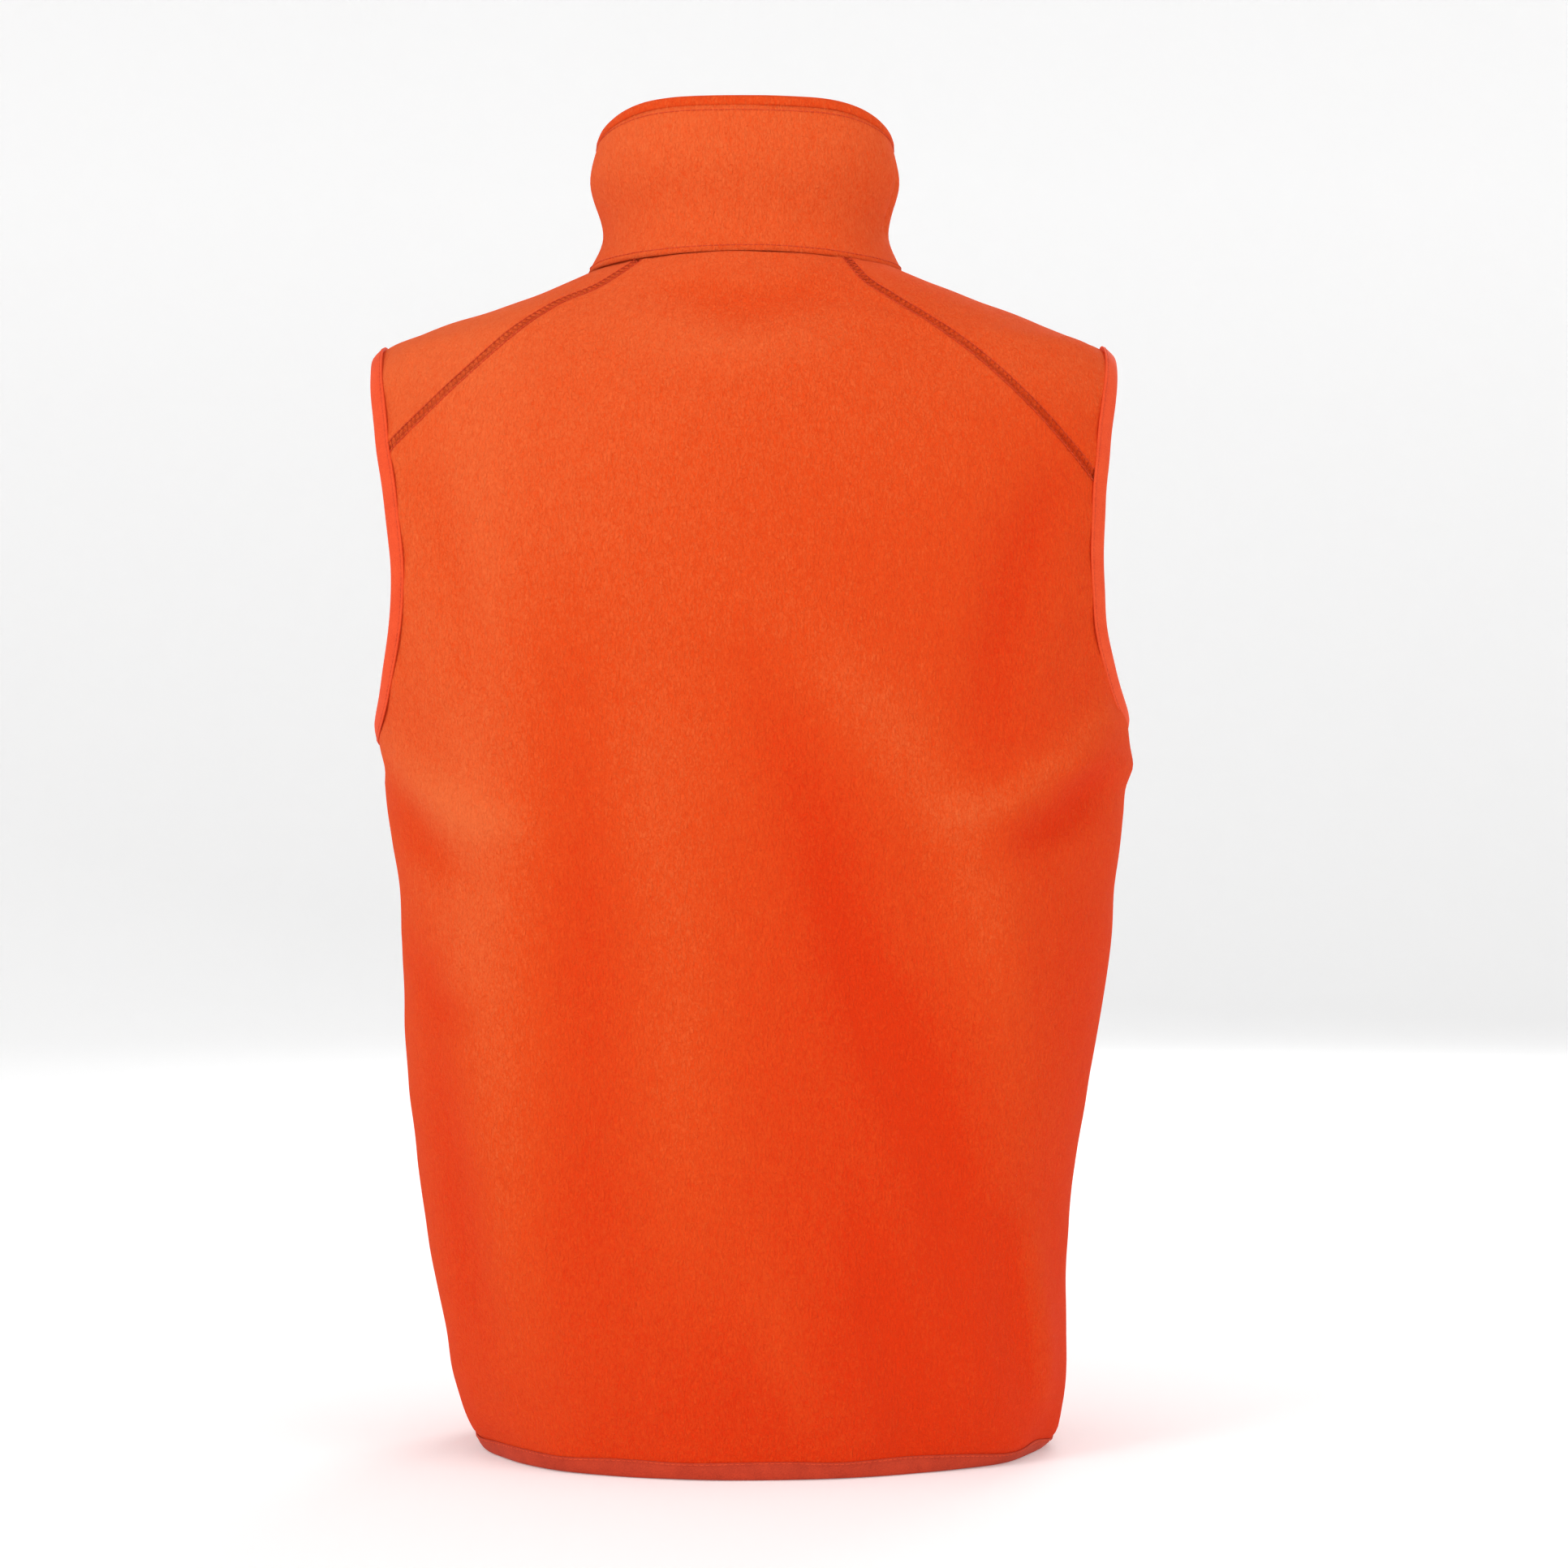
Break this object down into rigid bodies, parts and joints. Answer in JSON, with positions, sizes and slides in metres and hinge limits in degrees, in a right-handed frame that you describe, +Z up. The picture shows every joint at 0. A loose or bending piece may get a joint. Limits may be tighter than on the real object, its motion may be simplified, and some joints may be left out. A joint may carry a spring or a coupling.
{
  "type": "fleece vest",
  "caption": "Sleeveless blaze orange microfleece vest with stand collar, raglan shoulder panels, bound armholes and hem, full front zip and zipped hand pockets.",
  "frame": {"origin": "on the ground under the middle of the hem, at the middle of the bounding box", "axes": "+Z up, the wearer faces -Y, the wearer's left is +X"},
  "size_m": [0.421, 0.2715, 0.7451],
  "materials": {
    "fleece": "brushed microfleece",
    "binding": "smooth knitted elastic binding",
    "hem_binding": "smooth knitted elastic binding, darker",
    "zip_tape": "woven tape",
    "zip_chain": "nylon coil",
    "zip_plastic": "moulded",
    "zip_metal": "enamelled",
    "tape_twill": "herringbone tape",
    "pocket_cloth": "tricot mesh",
    "label": "satin, blank"
  },
  "bodies": {
    "vest": {"back_panel": "fleece", "front_panel_left": "fleece", "front_panel_right": "fleece", "shoulder_panel_left": "fleece", "shoulder_panel_right": "fleece", "collar_outer": "fleece", "collar_lining": "fleece", "collar_edge": "fleece", "armhole_binding_left": "binding", "zip_tape_left": "zip_tape", "zip_chain_left": "zip_chain", "zip_top_stop_left": "zip_plastic", "pocket_left_zip_tape_inner": "zip_tape", "pocket_left_zip_chain_inner": "zip_chain", "pocket_left_zip_tape_outer": "zip_tape", "pocket_left_zip_chain_outer": "zip_chain", "pocket_left_zip_stop_bottom": "zip_plastic", "pocket_left_zip_stop_top": "zip_plastic", "pocket_left_bag": "pocket_cloth", "armhole_binding_right": "binding", "zip_tape_right": "zip_tape", "zip_chain_right": "zip_chain", "zip_top_stop_right": "zip_plastic", "pocket_right_zip_tape_inner": "zip_tape", "pocket_right_zip_chain_inner": "zip_chain", "pocket_right_zip_tape_outer": "zip_tape", "pocket_right_zip_chain_outer": "zip_chain", "pocket_right_zip_stop_bottom": "zip_plastic", "pocket_right_zip_stop_top": "zip_plastic", "pocket_right_bag": "pocket_cloth", "hem_binding": "hem_binding", "neck_tape": "tape_twill", "neck_label": "label", "care_label": "label", "zip_insertion_pin": "zip_plastic", "zip_retainer_box": "zip_plastic"},
    "zip_slider_body": {"zip_slider": "zip_metal"},
    "zip_pull_body": {"zip_pull": "zip_metal"},
    "hanger_loop_body": {"hanger_loop": "tape_twill"},
    "pocket_left_slider_body": {"pocket_left_slider": "zip_metal"},
    "pocket_left_pull_body": {"pocket_left_pull": "zip_metal"},
    "pocket_right_slider_body": {"pocket_right_slider": "zip_metal"},
    "pocket_right_pull_body": {"pocket_right_pull": "zip_metal"}
  },
  "joints": [
    {"name": "zip_slide", "type": "slide", "parent": "vest", "child": "zip_slider_body", "axis": [0, 0.0981, 0.9952], "range_m": [-0.6503, 0]},
    {"name": "zip_pull_swing", "type": "hinge", "parent": "zip_slider_body", "child": "zip_pull_body", "pos_m": [0, -0.0701, 0.6677], "axis": [-1, 0, 0], "range_deg": [0, 160]},
    {"name": "pocket_left_slide", "type": "slide", "parent": "vest", "child": "pocket_left_slider_body", "axis": [0.0126, 0.0432, 0.999], "range_m": [-0.137, 0]},
    {"name": "pocket_left_pull_swing", "type": "hinge", "parent": "pocket_left_slider_body", "child": "pocket_left_pull_body", "pos_m": [0.13289, -0.08912, 0.2515], "axis": [-0.8719, -0.4886, 0.0322], "range_deg": [0, 160]},
    {"name": "pocket_right_slide", "type": "slide", "parent": "vest", "child": "pocket_right_slider_body", "axis": [-0.0126, 0.0473, 0.9988], "range_m": [-0.137, 0]},
    {"name": "pocket_right_pull_swing", "type": "hinge", "parent": "pocket_right_slider_body", "child": "pocket_right_pull_body", "pos_m": [-0.13286, -0.08985, 0.25149], "axis": [-0.8811, 0.4717, -0.0335], "range_deg": [0, 160]},
    {"name": "hanger_loop_swing", "type": "hinge", "parent": "vest", "child": "hanger_loop_body", "pos_m": [0, 0.0619, 0.662], "axis": [-1, 0, 0], "range_deg": [0, 150]}
  ]
}
